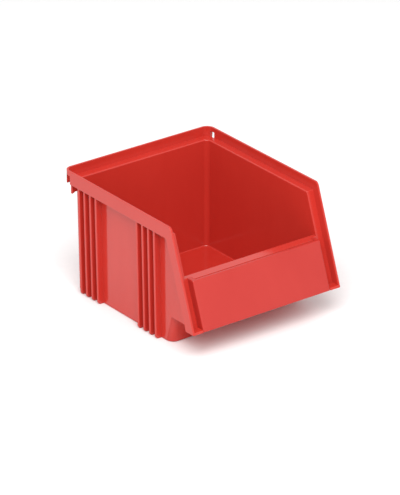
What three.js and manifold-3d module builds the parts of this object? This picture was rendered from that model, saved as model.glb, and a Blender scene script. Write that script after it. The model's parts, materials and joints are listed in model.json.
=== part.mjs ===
// Stackable, open-fronted storage bin with a slide-on label plate.
// Millimetres, +Z up. The origin is the centre of the bin's footprint, on the floor.
// The open front and its nose face -Y, the back wall faces +Y, and X runs across the bin.

import * as THREE from "three";
import { mergeVertices } from "three/addons/utils/BufferGeometryUtils.js";
import Module from "manifold-3d";

// ---------------------------------------------------------------- driving dimensions

// Overall sizes
const binWidth = 150; // across the outside of the rim
const binLength = 178; // from the back of the rim to the tip of the nose
const binHeight = 107.7;
const frontLean = 30.7; // how far the slanted front edge runs back between the nose and the rim
const noseHeight = 24.1; // underside of the overhanging nose, above the floor
const noseReach = 38.1; // from the front of the base, which stands on the floor, to the nose's tip

// Walls
const sideWall = 1.9;
const frontWall = 2.6;
const capDepth = 11.2; // from the slanted front edge in to the inner edge of the front wall's cap
const capThickness = 2;
const floorThickness = 2;
const draft = 0.01; // how far the walls lean in for each millimetre below the shelf
const backCornerRadius = 6; // outside of the two upright corners at the back
const baseFrontRadius = 7; // outside of the two upright corners at the front of the base

// Rim: an upright skirt all round, with a shelf inside it that another bin stands on
const rimSkin = 1.8; // thickness of the skirt and of the shelf
const shelfDrop = 8.3; // from the top of the rim down to the shelf
const sideShelf = 6.2; // width of the shelf inside the skirt, at the sides
const backShelf = 6.8; // and at the back
const skirtHeight = 11.65;
const rimBackRadius = 7.7; // outside of the rim's two corners at the back
const rimFrontRadius = 4; // where the level rim turns down into the slanted front edge
const slantStep = 7.3; // from the slanted front edge in to its shelf and the front wall
const slantSkirt = 9.8; // width of the skirt along the slanted front edge
const skirtElbowRadius = 2; // inner bend of the skirt, behind the front edge

// Slit in each side of the skirt, near the back, with a lug under it
const slitFromBack = 5.3;
const slitWidth = 4.2;
const slitBelowTop = 4.2;
const lugEdgeInset = 2.7; // from the skirt's outer face in to the lug's outer edge
const lugBottomDrop = 21.1; // from the top of the rim to the lug's lowest corner
const lugSlope = 1.5; // how much higher the lug's bottom edge is at the wall
const lugInset = 0.3; // from the back wall's outer face in to the lug's

// Ribs: the same two groups on each side
const ribThickness = 2.35;
const ribPitch = 7.85;
const ribsInGroup = 4;
const backRibs = 19.4; // from the back of the rim to the back of the first group
const frontRibs = 14.8; // from the front of the base to the front of the second group
const ribTopInset = 0.6; // from the skirt's outer face in to the ribs, just below the skirt
const ribFootInset = 2.1; // and at the floor
const ribFootRadius = 3;

// Label plate, and what holds it on the front wall
const channelWidth = 8.7; // between the plate and the inside of the skirt, on each side
const plateTop = 64; // height of the plate and of the ledge behind it
const plateFace = 2.2;
const plateCheek = 3.6; // thickness of the plate's two side walls
const grooveDepth = 1.8; // into each cheek
const labelSlot = 1; // gap between the plate's face and the ledge behind it
const ledgeThickness = 2;
const tongueThickness = 2;
const railStem = 2.2; // thickness of the upright that carries each tongue
const stemClearance = 1.1; // between an upright and the cheek that passes it
const fit = 0.3; // clearance where the plate slides and seats

// ---------------------------------------------------------------- places worked out from them

const overlap = 0.5; // how far joined solids run into each other
const beyond = 20; // how far a cutting solid runs past what it cuts
const halfWidth = binWidth / 2;
const backY = binLength / 2;
const frontY = -binLength / 2;
const farFrontY = frontY - beyond;
const shelfTop = binHeight - shelfDrop;
const shelfUnder = shelfTop - rimSkin;
const skirtBottom = binHeight - skirtHeight;
const lipTop = noseHeight + floorThickness;
const innerHalf = halfWidth - rimSkin - sideShelf; // inside of the side walls, at the shelf
const outerHalf = innerHalf + sideWall;
const innerBackY = backY - rimSkin - backShelf;
const outerBackY = innerBackY + sideWall;
const baseFrontY = frontY + noseReach;
const draftMiddleY = (outerBackY + baseFrontY) / 2;
const rimFrontY = frontY + frontLean;
const slantRise = binHeight - noseHeight;
const slantAngle = Math.atan2(frontLean, slantRise);
const ribGroupLength = (ribsInGroup - 1) * ribPitch + ribThickness;
const ribGroupBacks = [backY - backRibs, baseFrontY + frontRibs + ribGroupLength];
const plateHalf = halfWidth - rimSkin - channelWidth;
const railFront = plateFace + labelSlot; // depth of the ledge's and the tongues' front faces
const ledgeHalf = plateHalf - plateCheek - fit;
const railTop = plateTop - ledgeThickness - fit;

// The Y of a point at height z, a given depth behind the plane of the slanted front edge.
function slantY(depth, z) {
  return frontY + ((z - noseHeight) * frontLean) / slantRise + depth / Math.cos(slantAngle);
}

// ---------------------------------------------------------------- shapes and solids

const wasm = await Module();
wasm.setup();

// A closed outline through points [u, v, radius], listed anticlockwise, with rounded corners.
function outline(points) {
  const shape = new THREE.Shape();
  points.forEach(([u, v, radius = 0], i) => {
    const corner = new THREE.Vector2(u, v);
    const last = points.at(i - 1);
    const next = points[(i + 1) % points.length];
    const toLast = new THREE.Vector2(last[0], last[1]).sub(corner).normalize();
    const toNext = new THREE.Vector2(next[0], next[1]).sub(corner).normalize();
    if (!radius) {
      shape[i ? "lineTo" : "moveTo"](u, v);
      return;
    }
    const halfAngle = Math.acos(toLast.dot(toNext)) / 2;
    const reach = radius / Math.tan(halfAngle);
    const start = corner.clone().addScaledVector(toLast, reach);
    const end = corner.clone().addScaledVector(toNext, reach);
    const towards = toLast.clone().add(toNext).normalize();
    const centre = corner.clone().addScaledVector(towards, radius / Math.sin(halfAngle));
    const startAngle = start.clone().sub(centre).angle();
    const endAngle = end.clone().sub(centre).angle();
    const turnsInward = toLast.cross(toNext) > 0;
    shape[i ? "lineTo" : "moveTo"](start.x, start.y);
    shape.absarc(centre.x, centre.y, radius, startAngle, endAngle, turnsInward);
  });
  shape.closePath();
  return shape;
}

// The manifold solid of a closed geometry.
function solidOf(geometry) {
  geometry.deleteAttribute("normal");
  geometry.deleteAttribute("uv");
  const merged = mergeVertices(geometry, 1e-4);
  return new wasm.Manifold(
    new wasm.Mesh({
      numProp: 3,
      vertProperties: merged.attributes.position.array,
      triVerts: new Uint32Array(merged.index.array),
    }),
  );
}

function extruded(shape, depth) {
  return new THREE.ExtrudeGeometry(shape, { depth, bevelEnabled: false, curveSegments: 4 });
}

const alongX = new THREE.Vector3(1, 0, 0);
const alongY = new THREE.Vector3(0, 1, 0);
const alongZ = new THREE.Vector3(0, 0, 1);
const sideOn = new THREE.Matrix4().makeBasis(alongY, alongZ, alongX);
const endOn = new THREE.Matrix4().makeBasis(alongX, alongZ, alongY.clone().negate());

// A side view, points [y, z, radius], run across the bin from x0 to x1.
function acrossBin(points, x0, x1) {
  return solidOf(extruded(outline(points), x1 - x0).applyMatrix4(sideOn).translate(x0, 0, 0));
}

// A front view, points [x, z, radius], run along the bin from y0 to y1.
function alongBin(points, y0, y1) {
  return solidOf(extruded(outline(points), y1 - y0).applyMatrix4(endOn).translate(0, y1, 0));
}

// A plan shape, run up from z0 to z1. When it leans, it draws in evenly below the shelf.
function upward(shape, z0, z1, leans = true) {
  const geometry = extruded(shape, z1 - z0).translate(0, 0, z0);
  const position = geometry.getAttribute("position");
  for (let i = 0; leans && i < position.count; i += 1) {
    const drawnIn = draft * (shelfUnder - position.getZ(i));
    position.setX(i, position.getX(i) - Math.sign(position.getX(i)) * drawnIn);
    const fromMiddle = Math.sign(position.getY(i) - draftMiddleY);
    position.setY(i, position.getY(i) - fromMiddle * drawnIn);
  }
  return solidOf(geometry);
}

// A strip that follows the slant, between two depths, two heights and two places across the bin.
function onSlant(depth0, depth1, z0, z1, x0, x1) {
  const points = [
    [slantY(depth0, z0), z0],
    [slantY(depth1, z0), z0],
    [slantY(depth1, z1), z1],
    [slantY(depth0, z1), z1],
  ];
  return acrossBin(points, x0, x1);
}

// The same strip on both sides of the bin.
function onSlantTwice(depth0, depth1, z0, z1, x0, x1) {
  const right = onSlant(depth0, depth1, z0, z1, x0, x1);
  return right.add(onSlant(depth0, depth1, z0, z1, -x1, -x0));
}

function mirrored(solid) {
  return solid.add(solid.mirror([1, 0, 0]));
}

// A plan of the bin: a rectangle from the back to the front with its own radius at each end.
function plan(half, back, front, backRadius, frontRadius = 0) {
  return outline([
    [-half, front, frontRadius],
    [half, front, frontRadius],
    [half, back, backRadius],
    [-half, back, backRadius],
  ]);
}

// ---------------------------------------------------------------- the moulded body

// Everything inside and including the walls, as a solid block.
function wallBlock() {
  const base = plan(outerHalf, outerBackY, baseFrontY, backCornerRadius, baseFrontRadius);
  const upper = plan(outerHalf, outerBackY, farFrontY, backCornerRadius);
  const behindFront = acrossBin(
    [
      [slantY(slantStep, noseHeight), noseHeight],
      [backY, noseHeight],
      [backY, shelfTop],
      [slantY(slantStep, shelfTop), shelfTop],
    ],
    -halfWidth,
    halfWidth,
  );
  const tall = upward(upper, noseHeight, shelfTop).intersect(behindFront);
  return upward(base, 0, lipTop).add(tall);
}

// The hollow that goods lie in, open at the top and above the plate.
function hollow() {
  const backRadius = backCornerRadius - sideWall;
  const frontRadius = baseFrontRadius - sideWall;
  const top = binHeight + beyond;
  const base = plan(innerHalf, innerBackY, baseFrontY + sideWall, backRadius, frontRadius);
  const upper = plan(innerHalf, innerBackY, farFrontY, backRadius);
  const behindFrontWall = acrossBin(
    [
      [slantY(slantStep + frontWall, lipTop), lipTop],
      [backY, lipTop],
      [backY, top],
      [slantY(slantStep + frontWall, top), top],
    ],
    -halfWidth,
    halfWidth,
  );
  const low = upward(base, floorThickness, lipTop + overlap);
  const nose = upward(upper, lipTop, top).intersect(behindFrontWall);
  return low.add(nose).add(upward(upper, plateTop, top));
}

// The skirt and its shelf, round the back, along both sides and down the slanted front.
function rim() {
  const outside = plan(halfWidth, backY, farFrontY, rimBackRadius);
  const inside = plan(halfWidth - rimSkin, backY - rimSkin, farFrontY, rimBackRadius - rimSkin);
  const skirt = acrossBin(
    [
      [backY, skirtBottom],
      [backY, binHeight],
      [rimFrontY, binHeight, rimFrontRadius],
      [frontY, noseHeight],
      [slantY(slantSkirt, noseHeight), noseHeight],
      [slantY(slantSkirt, skirtBottom), skirtBottom, skirtElbowRadius],
    ].reverse(),
    -halfWidth,
    halfWidth,
  ).intersect(upward(outside, 0, binHeight, false));
  const top = binHeight + beyond;
  const aboveShelf = upward(inside, shelfTop, top, false);
  const inFront = acrossBin(
    [
      [farFrontY, lipTop],
      [slantY(slantStep, lipTop), lipTop],
      [slantY(slantStep, top), top],
      [farFrontY, top],
    ],
    rimSkin - halfWidth,
    halfWidth - rimSkin,
  );
  const backOfShelf = slantStep + rimSkin;
  const underShelf = acrossBin(
    [
      [slantY(backOfShelf, 0), 0],
      [backY, 0],
      [backY, shelfUnder],
      [slantY(backOfShelf, shelfUnder), shelfUnder],
    ],
    -halfWidth,
    halfWidth,
  ).intersect(upward(inside, 0, shelfUnder, false));
  return skirt.subtract(aboveShelf).subtract(inFront).subtract(underShelf);
}

// The outline of a rib in front view, on the +X side, from inside the wall outwards.
function ribOutline() {
  const root = outerHalf - sideWall / 2;
  const height = shelfUnder + overlap;
  return [
    [root - draft * height, 0],
    [halfWidth - ribFootInset, 0, ribFootRadius],
    [halfWidth - ribTopInset, height],
    [root, height],
  ];
}

function ribs() {
  const solids = [];
  for (const groupBack of ribGroupBacks) {
    for (let i = 0; i < ribsInGroup; i += 1) {
      const y1 = groupBack - i * ribPitch;
      solids.push(alongBin(ribOutline(), y1 - ribThickness, y1));
    }
  }
  return mirrored(solids.reduce((all, one) => all.add(one)));
}

// A short tab in line with the back wall, hanging from the shelf under each slit.
function lugs() {
  const low = binHeight - lugBottomDrop;
  const root = outerHalf - backCornerRadius;
  const edge = halfWidth - lugEdgeInset;
  const points = [
    [root, low + lugSlope],
    [outerHalf, low + lugSlope],
    [edge, low],
    [edge, shelfUnder + overlap],
    [root, shelfUnder + overlap],
  ];
  const y1 = outerBackY - lugInset;
  return mirrored(alongBin(points, y1 - ribThickness, y1));
}

// An opening in the skirt near each back corner, open at the bottom.
function slits() {
  const y1 = backY - slitFromBack;
  const inner = halfWidth - rimBackRadius + Math.sqrt(
    (rimBackRadius - rimSkin) ** 2 - (rimBackRadius - slitFromBack) ** 2,
  );
  const points = [
    [inner, skirtBottom - beyond],
    [halfWidth + beyond, skirtBottom - beyond],
    [halfWidth + beyond, binHeight - slitBelowTop],
    [inner, binHeight - slitBelowTop],
  ];
  return mirrored(alongBin(points, y1 - slitWidth, y1));
}

// The cap that stiffens the top of the front wall, and runs in from it to both side walls.
function frontCap() {
  return onSlant(
    slantStep + overlap,
    capDepth,
    plateTop - capThickness,
    plateTop,
    -innerHalf,
    innerHalf,
  );
}

// The floor of the nose, which ends in the lip that closes the two channels.
function noseFloor() {
  const half = halfWidth - rimSkin + overlap;
  return onSlant(0, slantStep + frontWall, noseHeight, lipTop, -half, half);
}

// The part of the lip that makes way for the plate's face.
function lipNotch() {
  const half = plateHalf + fit;
  return onSlant(-beyond, plateFace + fit, noseHeight - overlap, lipTop + overlap, -half, half);
}

// The ledge behind the plate, and the two rails that the plate slides on.
function plateHolder() {
  const stem1 = plateHalf - plateCheek - stemClearance;
  const stem0 = stem1 - railStem;
  const tongue1 = ledgeHalf + grooveDepth;
  const tongueBack = railFront + tongueThickness;
  const wallFace = slantStep + overlap;
  const ledge = onSlant(railFront, wallFace, railTop, plateTop, -ledgeHalf, ledgeHalf);
  const low = lipTop - overlap;
  const stems = onSlantTwice(railFront, wallFace, low, railTop + overlap, stem0, stem1);
  const tongues = onSlantTwice(railFront, tongueBack, low, railTop, stem1 - overlap, tongue1);
  return ledge.add(stems).add(tongues);
}

function bodySolid() {
  const outside = wallBlock().add(rim()).add(noseFloor()).add(ribs()).add(lugs());
  const hollowed = outside.subtract(slits()).subtract(hollow()).subtract(lipNotch());
  return hollowed.add(frontCap()).add(plateHolder());
}

// ---------------------------------------------------------------- the label plate

// A face that covers the lip, with two deep cheeks that stand on it. A groove in each cheek takes
// a tongue, and is closed at the top.
function plateSolid() {
  const low = lipTop + fit;
  const inner = plateHalf - plateCheek;
  const face = onSlant(0, plateFace, noseHeight, plateTop, -plateHalf, plateHalf);
  const back = slantStep - fit;
  const cheeks = onSlantTwice(plateFace - overlap, back, low, plateTop, inner, plateHalf);
  const grooves = onSlantTwice(
    railFront - fit,
    railFront + tongueThickness + fit,
    low - overlap,
    plateTop - ledgeThickness,
    inner - overlap,
    inner + grooveDepth,
  );
  return face.add(cheeks.subtract(grooves));
}

// ---------------------------------------------------------------- the scene

function meshOf(name, solid, material) {
  const made = solid.getMesh();
  const geometry = new THREE.BufferGeometry();
  geometry.setAttribute("position", new THREE.BufferAttribute(made.vertProperties, made.numProp));
  geometry.setIndex(new THREE.BufferAttribute(made.triVerts, 1));
  geometry.computeVertexNormals();
  const mesh = new THREE.Mesh(geometry, material);
  mesh.name = name;
  return mesh;
}

const bodyMaterial = new THREE.MeshStandardMaterial({ color: 0xc92a22, roughness: 0.36 });
const plateMaterial = new THREE.MeshStandardMaterial({ color: 0xcc2d25, roughness: 0.42 });

const bin = new THREE.Group();
bin.add(meshOf("bin_body", bodySolid(), bodyMaterial));
bin.add(meshOf("label_plate", plateSolid(), plateMaterial));

export default bin;
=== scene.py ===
# %% [markdown]
# # A red stackable storage bin
#
# The real bin is an injection moulding: a tub with thin walls, a stepped rim that another bin
# stands on, rows of stiffening ribs, and an overhanging nose with a label plate on it.
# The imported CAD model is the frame. It says where everything is, and this lesson gives each
# part the rounded edges and the surface that a moulding has.

# %% Load the frame
import json
import math

import bmesh
import bpy
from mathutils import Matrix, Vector

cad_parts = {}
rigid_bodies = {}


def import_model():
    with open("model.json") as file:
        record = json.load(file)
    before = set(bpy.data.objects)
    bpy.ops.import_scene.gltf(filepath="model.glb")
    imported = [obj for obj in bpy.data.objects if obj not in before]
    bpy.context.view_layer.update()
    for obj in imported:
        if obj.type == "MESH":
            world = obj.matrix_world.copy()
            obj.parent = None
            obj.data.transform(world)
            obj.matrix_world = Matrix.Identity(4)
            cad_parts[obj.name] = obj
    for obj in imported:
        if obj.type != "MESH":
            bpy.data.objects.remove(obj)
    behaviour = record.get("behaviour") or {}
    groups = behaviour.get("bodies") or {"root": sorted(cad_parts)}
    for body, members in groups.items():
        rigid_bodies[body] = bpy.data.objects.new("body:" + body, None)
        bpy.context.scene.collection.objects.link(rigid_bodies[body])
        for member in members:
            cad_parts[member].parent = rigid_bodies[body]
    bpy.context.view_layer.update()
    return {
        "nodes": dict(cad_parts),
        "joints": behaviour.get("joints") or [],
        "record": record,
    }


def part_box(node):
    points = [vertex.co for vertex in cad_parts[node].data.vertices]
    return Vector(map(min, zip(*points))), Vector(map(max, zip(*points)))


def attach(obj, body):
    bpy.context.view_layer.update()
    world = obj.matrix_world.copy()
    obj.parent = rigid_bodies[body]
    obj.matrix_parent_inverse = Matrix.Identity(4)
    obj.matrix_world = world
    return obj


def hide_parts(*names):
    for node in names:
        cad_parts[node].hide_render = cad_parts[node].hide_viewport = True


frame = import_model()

print("nodes:", sorted(frame["nodes"]))

# %% [markdown]
# ## Sizes
#
# A mould maker works in millimetres, so the shapes are drawn in millimetres, and each one is
# scaled to metres when it becomes an object. The outside sizes are read from the frame, so they
# can't drift from it. The rest are the walls and steps that the drawing of such a bin gives.

# %% Sizes that the frame gives
MM = 0.001

body_low, body_high = [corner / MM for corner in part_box("bin_body")]
plate_low, plate_high = [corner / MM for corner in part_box("label_plate")]
mounts = {mount["name"]: mount for mount in frame["record"]["mounts"]}
slide = Vector(frame["joints"][0]["axis"])  # the plate slides along the slanted front

rim_half = round(body_high.x, 3)
back = round(body_high.y, 3)
nose_tip = round(body_low.y, 3)
rim_top = round(body_high.z, 3)
shelf_top = round(mounts["stacking_shelf"]["pos_m"][2] / MM, 3)
plate_half = round(plate_high.x, 3)
plate_top = round(plate_high.z, 3)
plate_foot = round(plate_low.z, 3)
slant = math.atan2(slide.y, slide.z)

print(f"rim {2 * rim_half:.1f} x {back - nose_tip:.1f} mm, {rim_top:.1f} mm high")
print(f"the front leans back {math.degrees(slant):.2f} degrees")

# %% Walls, rim and steps, in millimetres
skin = 1.8  # the rim's skirt and its shelf
skirt_foot = rim_top - 11.65  # the skirt hangs down this far
slant_skirt = 9.8  # and it is this deep along the slanted edge
shelf_under = shelf_top - skin
side_shelf = 6.2  # how much of the shelf shows inside the skirt, at the sides
back_shelf = 6.8  # and at the back

wall = 1.9
wall_inside = rim_half - skin - side_shelf
wall_outside = wall_inside + wall
back_inside = back - skin - back_shelf
back_outside = back_inside + wall
draft = 0.01  # the walls lean in this much for each millimetre down

floor_thick = 2.0
nose_under = plate_foot
lip_top = nose_under + floor_thick
base_front = nose_tip + 38.1  # the nose hangs over this much in front of the base

front_step = 7.3  # from the slanted edge in to the front wall
front_wall = 2.6
cap_depth = 11.2  # the front wall's cap runs in this far from the slanted edge
cap_thick = 2.0


def on_slant(depth, height):
    """The y of a point so far behind the slanted front edge, at that height."""
    rise = height - nose_under
    return nose_tip + rise * math.tan(slant) + depth / math.cos(slant)


def depth_of(place):
    """How far a place is behind the slanted front edge."""
    return (place.y - on_slant(0, place.z)) * math.cos(slant)


print(f"tub {2 * wall_outside:.1f} mm wide, its base starts {base_front - nose_tip:.1f} mm back")
print(f"level part of the rim starts at y {on_slant(0, rim_top):.1f} mm")

# %% [markdown]
# ## A small workshop
#
# Every part of a moulding like this is a flat outline with a thickness, with some corners
# rounded. So the workshop has three tools: push an outline into a solid, round chosen edges to a
# real radius, and join or cut solids. Rounding is a bevel. The strip that a bevel takes off each
# face isn't the radius, unless the corner is square: it is the radius times the tangent of half
# of the turn, and the helper works that out.

# %% Push an outline into a solid
def pushed(corners, push):
    """Pushes the flat outline through the corners along a vector, into a closed solid."""
    solid = bmesh.new()
    outline = solid.faces.new([solid.verts.new(corner) for corner in corners])
    made = bmesh.ops.extrude_face_region(solid, geom=[outline])["geom"]
    moved = [part for part in made if isinstance(part, bmesh.types.BMVert)]
    bmesh.ops.translate(solid, verts=moved, vec=push)
    bmesh.ops.recalc_face_normals(solid, faces=solid.faces)
    return solid


def side_view(corners, x_from, x_to):
    """Corners (y, z) seen from the side, run across the bin."""
    return pushed([(x_from, y, z) for y, z in corners], (x_to - x_from, 0, 0))


def front_view(corners, y_from, y_to):
    """Corners (x, z) seen from the front, run along the bin."""
    return pushed([(x, y_from, z) for x, z in corners], (0, y_to - y_from, 0))


def plan_view(corners, z_from, z_to):
    """Corners (x, y) seen from above, run upwards."""
    return pushed([(x, y, z_from) for x, y in corners], (0, 0, z_to - z_from))


def slanted_strip(depth_from, depth_to, z_from, z_to, x_from, x_to):
    """A block that follows the slant of the front."""
    corners = [
        (on_slant(depth_from, z_from), z_from),
        (on_slant(depth_to, z_from), z_from),
        (on_slant(depth_to, z_to), z_to),
        (on_slant(depth_from, z_to), z_to),
    ]
    return side_view(corners, x_from, x_to)


# %% Choose edges and round them
NEAR = 0.02  # two places this close, in millimetres, are the same


def edges_at(solid, x=None, y=None, z=None):
    """Edges that lie at the given places. A place in x counts on both sides of the bin."""
    chosen = []
    for edge in solid.edges:
        one, other = [vert.co for vert in edge.verts]
        if x is not None and one.x * other.x < 0:
            continue
        fits = [
            (x is None or abs(abs(end.x) - x) < NEAR)
            and (y is None or abs(end.y - y) < NEAR)
            and (z is None or abs(end.z - z) < NEAR)
            for end in (one, other)
        ]
        if all(fits):
            chosen.append(edge)
    return chosen


def bevel_edges(solid, edges, strip, segments):
    """Bevels edges round. The bevel takes a strip this wide off each face beside them."""
    bmesh.ops.bevel(
        solid,
        geom=edges,
        offset=strip,
        offset_type="OFFSET",
        affect="EDGES",
        segments=segments,
        profile=0.5,
        material=-1,
        clamp_overlap=False,
    )


def round_off(solid, edges, radius, segments):
    """Rounds edges that all turn alike, to a real radius."""
    turn = edges[0].calc_face_angle()
    bevel_edges(solid, edges, radius * math.tan(turn / 2), segments)


def lean_in(solid):
    """Mould draft: below the shelf, the sides, the back and the base's front lean inwards."""
    for vert in solid.verts:
        drawn_in = draft * (shelf_under - vert.co.z)
        vert.co.x -= math.copysign(drawn_in, vert.co.x)
        in_base = vert.co.y > base_front - NEAR and vert.co.z < lip_top + NEAR
        if vert.co.y > 0 or in_base:
            vert.co.y -= math.copysign(drawn_in, vert.co.y)


# %% Join and cut
SAME_SPOT = 0.002  # corners this close, in millimetres, are merged
FLAT = math.radians(0.3)  # faces that turn less than this are one face


def as_object(solid, name):
    """Makes a solid an object, and lets go of the bmesh."""
    mesh = bpy.data.meshes.new(name)
    solid.to_mesh(mesh)
    solid.free()
    made = bpy.data.objects.new(name, mesh)
    bpy.context.scene.collection.objects.link(made)
    return made


def worked(first, *steps):
    """Runs each step, ("UNION", "DIFFERENCE" or "INTERSECT", solid), on the first solid."""
    work = as_object(first, "work")
    tools = [as_object(tool, "tool") for _, tool in steps]
    for (how, _), tool in zip(steps, tools):
        modifier = work.modifiers.new(how, "BOOLEAN")
        modifier.operation = how
        modifier.solver = "EXACT"
        modifier.object = tool
    depsgraph = bpy.context.evaluated_depsgraph_get()
    result = bmesh.new()
    result.from_object(work, depsgraph)
    for spent in [work, *tools]:
        mesh = spent.data
        bpy.data.objects.remove(spent)
        bpy.data.meshes.remove(mesh)
    bmesh.ops.remove_doubles(result, verts=result.verts, dist=SAME_SPOT)
    bmesh.ops.dissolve_limit(result, angle_limit=FLAT, verts=result.verts, edges=result.edges)
    return result


# %% Mirror a solid, and tell its size
def both_sides(solid):
    """Adds the mirror image of a solid that lies on the +X side."""
    copied = bmesh.ops.duplicate(solid, geom=solid.verts[:] + solid.edges[:] + solid.faces[:])
    verts = [part for part in copied["geom"] if isinstance(part, bmesh.types.BMVert)]
    bmesh.ops.scale(solid, verts=verts, vec=(-1, 1, 1))
    bmesh.ops.recalc_face_normals(solid, faces=solid.faces)
    return solid


def tell(name, solid):
    """Prints how big a solid is and whether it is closed."""
    open_edges = sum(1 for edge in solid.edges if len(edge.link_faces) != 2)
    volume = solid.calc_volume() / 1000
    print(f"{name}: {len(solid.faces)} faces, {open_edges} open edges, {volume:.1f} cm3")


# %% [markdown]
# ## The tub
#
# The tub is a box that another box is cut out of. Both are drawn as side views, because the step
# up to the nose only shows from the side. The upright corners are rounded first, then the block
# leans in, and the rounding at the floor comes last, so that it follows the rounded corners.

# %% The outside of the tub
hidden = 0.9  # how far the tub runs into the rim's skin, where nothing shows

tub = side_view(
    [
        (base_front, 0),
        (back_outside, 0),
        (back_outside, shelf_top - hidden),
        (on_slant(front_step + hidden, shelf_top - hidden), shelf_top - hidden),
        (on_slant(front_step + hidden, nose_under), nose_under),
        (base_front, nose_under),
    ],
    -wall_outside,
    wall_outside,
)
round_off(tub, edges_at(tub, x=wall_outside, y=back_outside), radius=6, segments=10)
round_off(tub, edges_at(tub, x=wall_outside, y=base_front), radius=7, segments=10)
lean_in(tub)
round_off(tub, edges_at(tub, z=0), radius=1.6, segments=4)
tell("tub outside", tub)

# %% The hollow that goods lie in
above = rim_top + 20  # well clear of the bin, as a cutting block has to be
far_front = nose_tip - 30
hollow = side_view(
    [
        (base_front + wall, floor_thick),
        (back_inside, floor_thick),
        (back_inside, above),
        (far_front, above),
        (far_front, plate_top),
        (on_slant(front_step + front_wall, plate_top), plate_top),
        (on_slant(front_step + front_wall, lip_top), lip_top),
        (base_front + wall, lip_top),
    ],
    -wall_inside,
    wall_inside,
)
back_corners = edges_at(hollow, x=wall_inside, y=back_inside)
round_off(hollow, back_corners, radius=4.1, segments=8)
front_corners = edges_at(hollow, x=wall_inside, y=base_front + wall)
round_off(hollow, front_corners, radius=5.1, segments=8)
lean_in(hollow)
round_off(hollow, edges_at(hollow, z=floor_thick), radius=1.2, segments=4)
tell("hollow", hollow)

# %% [markdown]
# ## The rim
#
# The rim is a skirt that hangs outside the walls, with a shelf inside it. It starts as one block
# with the outline of the skirt, and three pockets leave the skirt, the shelf and the lip of the
# nose standing. That keeps the slanted edge and the lip in one flat plane.

# %% The rim's block
rim_corner = 7.7
rim = side_view(
    [
        (back, skirt_foot),
        (back, rim_top),
        (on_slant(0, rim_top), rim_top),
        (nose_tip, nose_under),
        (on_slant(slant_skirt, nose_under), nose_under),
        (on_slant(slant_skirt, skirt_foot), skirt_foot),
    ],
    -rim_half,
    rim_half,
)
top_bend = edges_at(rim, y=on_slant(0, rim_top), z=rim_top)
round_off(rim, top_bend, radius=4, segments=8)
foot_bend = edges_at(rim, y=on_slant(slant_skirt, skirt_foot), z=skirt_foot)
round_off(rim, foot_bend, radius=2, segments=6)
round_off(rim, edges_at(rim, x=rim_half, y=back), radius=rim_corner, segments=14)
tell("rim block", rim)

# %% The rim's pockets
pocket_half = rim_half - skin
pocket_back = back - skin
pocket_corner = 5.9  # the rim's corner less the skin
web_back = front_step + skin

above_shelf = plan_view(
    [
        (-pocket_half, far_front),
        (pocket_half, far_front),
        (pocket_half, pocket_back),
        (-pocket_half, pocket_back),
    ],
    shelf_top,
    above,
)
pocket_corners = edges_at(above_shelf, x=pocket_half, y=pocket_back)
round_off(above_shelf, pocket_corners, radius=pocket_corner, segments=12)

before_web = side_view(
    [
        (far_front, lip_top),
        (on_slant(front_step, lip_top), lip_top),
        (on_slant(front_step, above), above),
        (far_front, above),
    ],
    -pocket_half,
    pocket_half,
)

under_shelf = side_view(
    [
        (on_slant(web_back, 0), 0),
        (pocket_back, 0),
        (pocket_back, shelf_under),
        (on_slant(web_back, shelf_under), shelf_under),
    ],
    -pocket_half,
    pocket_half,
)
pocket_corners = edges_at(under_shelf, x=pocket_half, y=pocket_back)
round_off(under_shelf, pocket_corners, radius=pocket_corner, segments=12)

rim = worked(
    rim,
    ("DIFFERENCE", above_shelf),
    ("DIFFERENCE", before_web),
    ("DIFFERENCE", under_shelf),
)
tell("rim", rim)

# %% [markdown]
# ## Ribs and lugs
#
# Each side carries two groups of four ribs, from the floor up to the shelf. They keep the thin
# wall flat under load. One rib is drawn, its foot and its outer edges are rounded while it is
# still a simple block, and copies of it stand a pitch apart. A lug stands under each back corner
# of the rim, and the slit above it lets out the part of the mould that shapes the lug.

# %% One rib
edge_radius = 0.45  # the small radius on nearly every edge of the bin
rib_thick = 2.35
rib_root = wall_inside - 6.6  # inside the hollow, which cuts it off
rib_foot = rim_half - 2.1  # the ribs stand out less at the floor than under the shelf
rib_head = rim_half - 0.6
rib_top = shelf_under + hidden
rib_outline = [(rib_root, 0), (rib_foot, 0), (rib_head, rib_top), (rib_root, rib_top)]


def flank_edges(rib):
    """The edges of a rib's two flanks, but not the ones at its root and at its top."""
    chosen = []
    for edge in rib.edges:
        one, other = [vert.co for vert in edge.verts]
        on_flank = abs(one.y - other.y) < NEAR
        at_root = max(one.x, other.x) < rib_root + NEAR
        at_top = min(one.z, other.z) > rib_top - NEAR
        if on_flank and not at_root and not at_top:
            chosen.append(edge)
    return chosen


def rib_at(rib_back):
    """A rib on the +X side, with its back face at that y."""
    rib = front_view(rib_outline, rib_back - rib_thick, rib_back)
    round_off(rib, edges_at(rib, x=rib_foot, z=0), radius=3, segments=6)
    round_off(rib, flank_edges(rib), radius=edge_radius, segments=2)
    return rib


print(f"a rib stands {rib_foot - wall_outside:.1f} mm out at the floor")

# %% Sixteen ribs
rib_pitch = 7.85
rib_count = 4
group_length = (rib_count - 1) * rib_pitch + rib_thick
rear_group = back - 19.4  # the back face of the last rib in each group
front_group = base_front + 14.8 + group_length

ribs = bmesh.new()
for group_back in (rear_group, front_group):
    for number in range(rib_count):
        rib = rib_at(group_back - number * rib_pitch)
        spare = bpy.data.meshes.new("spare")
        rib.to_mesh(spare)
        rib.free()
        ribs.from_mesh(spare)
        bpy.data.meshes.remove(spare)
both_sides(ribs)
tell("ribs", ribs)

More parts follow.
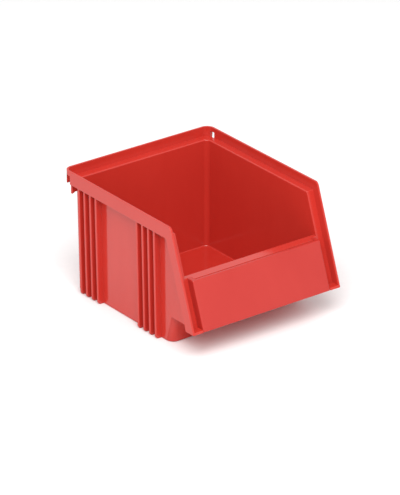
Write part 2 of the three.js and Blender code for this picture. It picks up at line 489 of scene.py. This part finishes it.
# %% The lugs
lug_root = wall_outside - 6
lug_edge = rim_half - 2.7
lug_low = rim_top - 21.1
lug_slope = 1.5  # the lug's underside drops this much outwards
lug_back = back_outside - 0.3
lugs = front_view(
    [
        (lug_root, lug_low + lug_slope),
        (wall_outside, lug_low + lug_slope),
        (lug_edge, lug_low),
        (lug_edge, rib_top),
        (lug_root, rib_top),
    ],
    lug_back - rib_thick,
    lug_back,
)
both_sides(lugs)
tell("lugs", lugs)

# %% The slits above them
slit_wide = 4.2
slit_inset = 5.3  # from the back of the rim
slit_back = back - slit_inset
slit_top = rim_top - 4.2
slit_low = skirt_foot - 20
slit_outer = rim_half + 20
bend_reach = math.sqrt(pocket_corner**2 - (rim_corner - slit_inset) ** 2)
slit_inner = rim_half - rim_corner + bend_reach  # the skirt's inside, where it bends
slits = front_view(
    [
        (slit_inner, slit_low),
        (slit_outer, slit_low),
        (slit_outer, slit_top),
        (slit_inner, slit_top),
    ],
    slit_back - slit_wide,
    slit_back,
)
both_sides(slits)
tell("slits", slits)

# %% [markdown]
# ## The label holder
#
# Behind the plate, the front wall has a ledge along its top and two upright rails below it. The
# plate's cheeks slide down over the rails. A cap stiffens the wall's top edge, and a notch in the
# lip of the nose lets the plate's face hang down in front of it.

# %% Sizes of the plate and of what holds it
cheek = 3.6  # how thick the plate's two side walls are
plate_face = 2.2
groove = 1.8  # how deep the groove in each cheek is
fit = 0.3
seam = 0.1  # where the plate closes up against the body at its top
slot = 1.0  # the open slot between the plate's face and the ledge

ledge_front = plate_face + slot
ledge_half = plate_half - cheek - seam
ledge_thick = 2.0
into_wall = front_step + hidden

rail_top = plate_top - ledge_thick - fit
rail_low = lip_top - 0.5  # it starts inside the lip
tongue_thick = 2
tongue_out = plate_half - cheek - fit + groove
upright_out = plate_half - cheek - 1.1
upright_in = upright_out - 2.2
print(f"tongues reach {tongue_out - upright_out:.1f} mm out of their uprights")

# %% Ledge, uprights, tongues, cap and notch
ledge = slanted_strip(ledge_front, into_wall, rail_top, plate_top, -ledge_half, ledge_half)
uprights = slanted_strip(
    ledge_front, into_wall, rail_low, rail_top + 0.5, upright_in, upright_out
)
both_sides(uprights)
tongues = slanted_strip(
    ledge_front, ledge_front + tongue_thick, rail_low, rail_top, upright_out - 0.5, tongue_out
)
both_sides(tongues)
cap = slanted_strip(
    into_wall, cap_depth, plate_top - cap_thick, plate_top, -wall_inside, wall_inside
)
notch_half = plate_half + seam
notch = slanted_strip(
    -10, plate_face + seam, nose_under - 5, lip_top + 5, -notch_half, notch_half
)
tell("ledge", ledge)
tell("cap", cap)

# %% All of the body together
body = worked(
    rim,
    ("UNION", tub),
    ("UNION", ribs),
    ("UNION", lugs),
    ("DIFFERENCE", slits),
    ("DIFFERENCE", hollow),
    ("DIFFERENCE", notch),
    ("UNION", cap),
    ("UNION", ledge),
    ("UNION", uprights),
    ("UNION", tongues),
)
tell("body", body)

# %% [markdown]
# ## Rounded edges
#
# A mould has no sharp edge, and the thin bright line along each edge of such a bin is the light
# that its small radius catches. The shelf's inner border has the largest radius, because hands
# and goods pass over it, so it is rounded first. One bevel then rounds every outward edge that
# is left. Where its strips meet, a bevel can leave several corners on one spot. They are merged,
# and a corner that is left in the middle of an edge is dissolved, so that the skin stays closed.

# %% Find the sharp edges and round them
SHARP = math.radians(35)


def sharp_edges(solid):
    """The outward edges that turn enough to be rounded."""
    return [
        edge for edge in solid.edges if edge.is_convex and edge.calc_face_angle(0) > SHARP
    ]


def round_these(solid, edges, radius, segments):
    """Rounds edges that are nearly square, cleans up, and gives how many there were."""
    count = len(edges)
    bevel_edges(solid, edges, radius, segments)
    bmesh.ops.remove_doubles(solid, verts=solid.verts, dist=SAME_SPOT)
    bmesh.ops.dissolve_degenerate(solid, dist=SAME_SPOT / 2, edges=solid.edges)
    mid_edge = [vert for vert in solid.verts if len(vert.link_edges) == 2]
    bmesh.ops.dissolve_verts(solid, verts=mid_edge)
    return count


print("sharp edges on the body:", len(sharp_edges(body)))


# %% Round the shelf's inner border
def on_inner_border(place):
    """True on the border of the shelf, or of the step down the slant, next to the hollow."""
    beside_hollow = abs(place.x) < wall_inside + 0.1 and place.y < back_inside + 0.1
    on_shelf = abs(place.z - shelf_top) < NEAR
    on_step = abs(depth_of(place) - front_step) < NEAR and place.z > plate_top + 1
    return beside_hollow and (on_shelf or on_step and abs(place.x) > wall_inside - 1)


inner_border = [
    edge for edge in sharp_edges(body) if all(on_inner_border(vert.co) for vert in edge.verts)
]
count = round_these(body, inner_border, radius=1.0, segments=4)
print("inner border:", count, "edges")

# %% Keep the ledge crisp, and round every other outward edge
def on_ledge(place):
    """On the ledge's top, where its edges close up against the plate."""
    return (
        abs(place.z - plate_top) < NEAR
        and depth_of(place) < front_step - NEAR
        and abs(place.x) < plate_half
    )


crisp = []
soft = []
for edge in sharp_edges(body):
    if all(on_ledge(vert.co) for vert in edge.verts):
        crisp.append(edge)
    else:
        soft.append(edge)
print("left crisp:", len(crisp), "edges")
print("rounded:", round_these(body, soft, edge_radius, segments=2), "edges")
tell("body, rounded", body)

# %% [markdown]
# ## The label plate
#
# The plate is its own moulding: a face that hangs down over the lip, with two deep cheeks that
# stand on the lip, and a groove inside each cheek. Its front is softer than the rest of the bin,
# so the block's front edges are rounded before the cheeks are cut free.

# %% The plate's block, with its soft front edges
cheek_back = front_step - seam
cheek_foot = lip_top + fit
plate = slanted_strip(0, cheek_back, plate_foot, plate_top, -plate_half, plate_half)
front_sides = [
    edge
    for edge in edges_at(plate, x=plate_half)
    if all(abs(depth_of(vert.co)) < NEAR for vert in edge.verts)
]
round_off(plate, front_sides, radius=1.2, segments=6)


def around(solid, height):
    """The edges round the block at that height, but not the one along its back."""
    return [
        edge
        for edge in edges_at(solid, z=height)
        if min(depth_of(vert.co) for vert in edge.verts) < cheek_back - NEAR
    ]


count = round_these(plate, around(plate, plate_top), radius=0.6, segments=4)
print("top:", count, "edges")
count = round_these(plate, around(plate, plate_foot), radius=0.7, segments=4)
print("foot:", count, "edges")

# %% Cut the cheeks free, and cut their grooves
past = 10  # the cutting blocks run past the plate by this much
between_cheeks = plate_half - cheek

behind_face = slanted_strip(
    plate_face,
    cheek_back + past,
    plate_foot - past,
    plate_top + past,
    -between_cheeks,
    between_cheeks,
)
over_lip = slanted_strip(
    plate_face,
    cheek_back + past,
    plate_foot - past,
    cheek_foot,
    -plate_half - past,
    plate_half + past,
)
grooves = slanted_strip(
    ledge_front - fit,
    ledge_front + tongue_thick + fit,
    plate_foot - past,
    plate_top - ledge_thick,
    between_cheeks - 1,
    between_cheeks + groove,
)
both_sides(grooves)
plate = worked(
    plate, ("DIFFERENCE", behind_face), ("DIFFERENCE", over_lip), ("DIFFERENCE", grooves)
)
count = round_these(plate, sharp_edges(plate), radius=0.12, segments=2)
print("rounded", count, "edges")
tell("plate", plate)

# %% [markdown]
# ## Hang the pieces on the frame
#
# So far both shapes are loose solids in millimetres. Now each one becomes an object in metres,
# rides on the CAD body that it belongs to, and stands for that body's CAD node, so the plate
# slides when its joint moves. Its shading is smooth over the small bends and breaks at the
# corners, and weighted normals keep the large faces looking flat right up to their edges.

# %% Turn the solids into pieces
CORNER = math.radians(38)  # shading breaks where the surface turns more than this


def as_piece(solid, name, body_name, node):
    """Scales to metres, smooths the shading, and hangs the piece on its CAD body."""
    bmesh.ops.scale(solid, verts=solid.verts, vec=(MM, MM, MM))
    for face in solid.faces:
        face.smooth = True
    for edge in solid.edges:
        edge.smooth = edge.calc_face_angle(0) < CORNER
    piece = as_object(solid, name)
    even = piece.modifiers.new("Even shading", "WEIGHTED_NORMAL")
    even.keep_sharp = True
    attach(piece, body_name)
    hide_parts(node)
    return piece


bin_moulding = as_piece(body, "bin_moulding", "bin", "bin_body")
plate_moulding = as_piece(
    plate, "label_plate_moulding", "label_plate", "label_plate"
)
print("pieces:", bin_moulding.name, "and", plate_moulding.name)

# %% [markdown]
# ## The red plastic
#
# The bin is polypropylene, coloured all through. Its skin isn't flat: the mould's steel leaves a
# very fine grain, the melt leaves cloudy streaks where it flowed, and use leaves hairline scuffs.
# The edges are painted paler as a highlight along them, which also stands for slight wear there.
# Each of these effects is a node group with its own values, so that the body and the plate can
# share them.

# %% A small kit for nodes
def new_group(name, inputs, outputs):
    """A shader node group with float or vector sockets."""
    group = bpy.data.node_groups.new(name, "ShaderNodeTree")
    for socket_name, kind, value in inputs:
        socket = group.interface.new_socket(socket_name, in_out="INPUT", socket_type=kind)
        if value is not None:
            socket.default_value = value
    for socket_name, kind in outputs:
        group.interface.new_socket(socket_name, in_out="OUTPUT", socket_type=kind)
    start = group.nodes.new("NodeGroupInput")
    end = group.nodes.new("NodeGroupOutput")
    return group, start, end


def add(tree, kind, **settings):
    """A new node. Each setting is a property of the node or the value of an input."""
    made = tree.nodes.new(kind)
    for name, value in settings.items():
        if hasattr(made, name):
            setattr(made, name, value)
        else:
            made.inputs[name.replace("_", " ")].default_value = value
    return made


def between(tree, source, low, high, to_low, to_high):
    """Maps a value from one range onto another, and stops it at the ends."""
    step = add(tree, "ShaderNodeMapRange", clamp=True)
    step.inputs["From Min"].default_value = low
    step.inputs["From Max"].default_value = high
    step.inputs["To Min"].default_value = to_low
    step.inputs["To Max"].default_value = to_high
    tree.links.new(source, step.inputs["Value"])
    return step.outputs["Result"]


def mixed(tree, share, first, second):
    """Mixes two colours. The first may be a socket, and the share always is one."""
    mix = add(tree, "ShaderNodeMix", data_type="RGBA")
    tree.links.new(share, mix.inputs["Factor"])
    if isinstance(first, bpy.types.NodeSocket):
        tree.links.new(first, mix.inputs["A"])
    else:
        mix.inputs["A"].default_value = (*first, 1)
    mix.inputs["B"].default_value = (*second, 1)
    return mix.outputs["Result"]


def scaled_sum(tree, value, scale, added):
    """The value times the scale, plus what is added."""
    total = add(tree, "ShaderNodeMath", operation="MULTIPLY_ADD")
    total.inputs[1].default_value = scale
    tree.links.new(value, total.inputs[0])
    tree.links.new(added, total.inputs[2])
    return total.outputs["Value"]


# %% Grain and flow marks
FLOAT, VECTOR = "NodeSocketFloat", "NodeSocketVector"

skin_group, start, end = new_group(
    "mould_skin",
    [("Vector", VECTOR, None), ("Grain Scale", FLOAT, 1800.0), ("Flow Scale", FLOAT, 40.0)],
    [("Grain", FLOAT), ("Flow", FLOAT)],
)
grain = add(skin_group, "ShaderNodeTexNoise", Detail=3.0, Roughness=0.6)
skin_group.links.new(start.outputs["Vector"], grain.inputs["Vector"])
skin_group.links.new(start.outputs["Grain Scale"], grain.inputs["Scale"])
skin_group.links.new(grain.outputs["Fac"], end.inputs["Grain"])

stretch = add(skin_group, "ShaderNodeMapping")
stretch.inputs["Scale"].default_value = (1.0, 1.0, 0.35)
flow = add(skin_group, "ShaderNodeTexNoise", Detail=4.0, Roughness=0.55, Distortion=0.8)
skin_group.links.new(start.outputs["Vector"], stretch.inputs["Vector"])
skin_group.links.new(stretch.outputs["Vector"], flow.inputs["Vector"])
skin_group.links.new(start.outputs["Flow Scale"], flow.inputs["Scale"])
skin_group.links.new(flow.outputs["Fac"], end.inputs["Flow"])
print("mould_skin:", len(skin_group.nodes), "nodes")

# %% [markdown]
# Scuffs are drawn by two noises that are squeezed along one direction until they become lines,
# and only their highest crests are kept. The edges are found with a Bevel node: where the
# rounded normal leaves the true one, the surface is close to an edge. This edge mask paints a
# highlight along the edges, partly as painted light and partly as wear.

# %% Scuffs, and a painted highlight along the edges
# Scuffs are real wear. The Edge mask paints a highlight along the edges, partly as wear.
wear_and_highlight_group, start, end = new_group(
    "wear_and_edge_highlight",
    [("Vector", VECTOR, None), ("Scuff Scale", FLOAT, 60.0), ("Edge Width", FLOAT, 0.0006)],
    [("Scuff", FLOAT), ("Edge", FLOAT)],
)
hair_turns = (0.5, -1.1)  # radians, about all three axes
crest = (0.70, 0.78)  # only what the noise has above this becomes a line
lines = []
for turn in hair_turns:
    squeeze = add(wear_and_highlight_group, "ShaderNodeMapping")
    squeeze.inputs["Rotation"].default_value = (turn, turn, turn)
    squeeze.inputs["Scale"].default_value = (1.0, 18.0, 18.0)
    hairs = add(wear_and_highlight_group, "ShaderNodeTexNoise", Detail=1.0)
    wear_and_highlight_group.links.new(start.outputs["Vector"], squeeze.inputs["Vector"])
    wear_and_highlight_group.links.new(squeeze.outputs["Vector"], hairs.inputs["Vector"])
    wear_and_highlight_group.links.new(start.outputs["Scuff Scale"], hairs.inputs["Scale"])
    lines.append(between(wear_and_highlight_group, hairs.outputs["Fac"], *crest, 0.0, 1.0))
either = add(wear_and_highlight_group, "ShaderNodeMath", operation="MAXIMUM")
wear_and_highlight_group.links.new(lines[0], either.inputs[0])
wear_and_highlight_group.links.new(lines[1], either.inputs[1])
wear_and_highlight_group.links.new(either.outputs["Value"], end.inputs["Scuff"])

rounded = add(wear_and_highlight_group, "ShaderNodeBevel", samples=4)
true_normal = add(wear_and_highlight_group, "ShaderNodeNewGeometry")
agree = add(wear_and_highlight_group, "ShaderNodeVectorMath", operation="DOT_PRODUCT")
wear_and_highlight_group.links.new(start.outputs["Edge Width"], rounded.inputs["Radius"])
wear_and_highlight_group.links.new(rounded.outputs["Normal"], agree.inputs[0])
wear_and_highlight_group.links.new(true_normal.outputs["Normal"], agree.inputs[1])
turned = (0.80, 0.99)  # how far the two normals agree, at an edge and clear of it
# The mask of the painted edge highlight, which also stands for edge wear.
edge_highlight_and_wear_mask = between(wear_and_highlight_group, agree.outputs["Value"], *turned, 1.0, 0.0)
wear_and_highlight_group.links.new(edge_highlight_and_wear_mask, end.inputs["Edge"])
print("wear_and_edge_highlight:", len(wear_and_highlight_group.nodes), "nodes")

# %% [markdown]
# The plastic itself is one shader. The flow marks move its colour between two close reds, the
# scuffs make it slightly paler, a painted highlight along the edges, partly standing for worn
# edges, makes it paler there too, and the grain gives it a bump far finer than a millimetre.
# The body has the gloss of a polished mould, and the plate's mould was left satin.

# %% Colour and roughness of the plastic
CLOUDS = (0.3, 0.7)  # the range of the flow marks that counts
# A paler red, shown by the scuffs and, as a painted highlight, by the edges.
SCUFF_AND_HIGHLIGHT_RED = (0.50, 0.07, 0.055)
SCUFF_COLOUR = 0.04  # how much of the scuffed colour a scuff shows
# How much of it the edges show: a painted highlight, which stands for slight edge wear too.
EDGE_HIGHLIGHT_AND_WEAR = 0.16  # and an edge
SCUFF_DULLS = 0.05  # how much rougher a scuff is


def plastic_colour(tree, skin, wear_and_highlight, deep, bright):
    """Moves between two reds with the flow marks, and goes paler at scuffs, and at the edges as
    painted highlight and wear.
    """
    cloud = between(tree, skin.outputs["Flow"], *CLOUDS, 0.0, 1.0)
    red = mixed(tree, cloud, deep, bright)
    # The edges are painted paler: a highlight, partly standing for wear.
    edge = between(tree, wear_and_highlight.outputs["Edge"], 0.0, 1.0, 0.0, EDGE_HIGHLIGHT_AND_WEAR)
    scuffed_and_highlit = scaled_sum(tree, wear_and_highlight.outputs["Scuff"], SCUFF_COLOUR, edge)
    return mixed(tree, scuffed_and_highlit, red, SCUFF_AND_HIGHLIGHT_RED)


def plastic_roughness(tree, skin, wear_and_highlight, gloss):
    """Moves through the range of gloss with the flow marks, and is duller at scuffs."""
    sheen = between(tree, skin.outputs["Flow"], *CLOUDS, *gloss)
    return scaled_sum(tree, wear_and_highlight.outputs["Scuff"], SCUFF_DULLS, sheen)


# %% The two finishes
def red_plastic(name, deep, bright, gloss, grain_scale, bump):
    """A red moulded plastic. gloss is the roughness range that its flow marks move through."""
    material = bpy.data.materials.new(name)
    material.use_nodes = True
    tree = material.node_tree
    shader = tree.nodes["Principled BSDF"]
    place = add(tree, "ShaderNodeTexCoord")
    skin = add(tree, "ShaderNodeGroup", node_tree=skin_group)
    skin.inputs["Grain Scale"].default_value = grain_scale
    wear_and_highlight = add(tree, "ShaderNodeGroup", node_tree=wear_and_highlight_group)
    tree.links.new(place.outputs["Object"], skin.inputs["Vector"])
    tree.links.new(place.outputs["Object"], wear_and_highlight.inputs["Vector"])

    colour = plastic_colour(tree, skin, wear_and_highlight, deep, bright)
    tree.links.new(colour, shader.inputs["Base Color"])
    roughness = plastic_roughness(tree, skin, wear_and_highlight, gloss)
    tree.links.new(roughness, shader.inputs["Roughness"])

    relief = add(tree, "ShaderNodeBump", Strength=bump, Distance=0.0001)
    tree.links.new(skin.outputs["Grain"], relief.inputs["Height"])
    tree.links.new(relief.outputs["Normal"], shader.inputs["Normal"])
    print(name + ":", len(tree.nodes), "nodes")
    return material


body_red = red_plastic(
    "glossy_moulded_red",
    deep=(0.48, 0.028, 0.019),
    bright=(0.50, 0.031, 0.021),
    gloss=(0.11, 0.15),
    grain_scale=1800,
    bump=0.10,
)
plate_red = red_plastic(
    "satin_moulded_red",
    deep=(0.42, 0.021, 0.015),
    bright=(0.44, 0.024, 0.017),
    gloss=(0.28, 0.36),
    grain_scale=1300,
    bump=0.35,
)
bin_moulding.data.materials.append(body_red)
plate_moulding.data.materials.append(plate_red)

# %% [markdown]
# ## The studio
#
# The bin stands on a pale board in soft light from all round, with one large soft lamp above. A
# glossy red part shows its surroundings: its left side mirrors the pale floor, and that gives
# the side its milky veil.

# %% Floor
floor_mesh = bmesh.new()
bmesh.ops.create_grid(floor_mesh, x_segments=1, y_segments=1, size=12)
studio_floor = as_object(floor_mesh, "studio_floor")
pale = bpy.data.materials.new("pale_board")
pale.use_nodes = True
tree = pale.node_tree
shader = tree.nodes["Principled BSDF"]
place = add(tree, "ShaderNodeTexCoord")
speckle = add(tree, "ShaderNodeTexNoise", Scale=140.0, Detail=4.0)
tree.links.new(place.outputs["Object"], speckle.inputs["Vector"])
tint = mixed(tree, speckle.outputs["Fac"], (0.82, 0.82, 0.82), (0.86, 0.86, 0.855))
tree.links.new(tint, shader.inputs["Base Color"])
shader.inputs["Roughness"].default_value = 0.85
studio_floor.data.materials.append(pale)
print("floor:", round(2 * studio_floor.data.vertices[-1].co.x, 1), "m across")

# %% Light
scene = bpy.context.scene
world = bpy.data.worlds.new("studio")
scene.world = world
world.use_nodes = True
world.node_tree.nodes["Background"].inputs["Color"].default_value = (1, 1, 1, 1)
world.node_tree.nodes["Background"].inputs["Strength"].default_value = 0.86

lamp_data = bpy.data.lights.new("soft_lamp", "AREA")
lamp_data.size = 1.2
lamp_data.energy = 27
lamp = bpy.data.objects.new("soft_lamp", lamp_data)
scene.collection.objects.link(lamp)
lamp.location = (-0.62, -0.78, 1.28)
lamp.rotation_euler = Vector(lamp.location).to_track_quat("Z", "Y").to_euler()
print("lamp", tuple(round(value, 2) for value in lamp.location), "m")

# %% Camera
camera_data = bpy.data.cameras.new("camera")
camera_data.sensor_width = 36
camera_data.lens = 290.25  # a long lens from far away keeps upright edges nearly parallel
camera_data.clip_end = 100
camera = bpy.data.objects.new("camera", camera_data)
scene.collection.objects.link(camera)
camera.location = (-1.7834, -2.3622, 1.4318)
camera.rotation_euler = (math.radians(64.94), 0, math.radians(-37.03))
scene.camera = camera
scene.view_settings.view_transform = "Standard"
print("camera", round(camera.location.length, 2), "m from the middle of the bin's base")
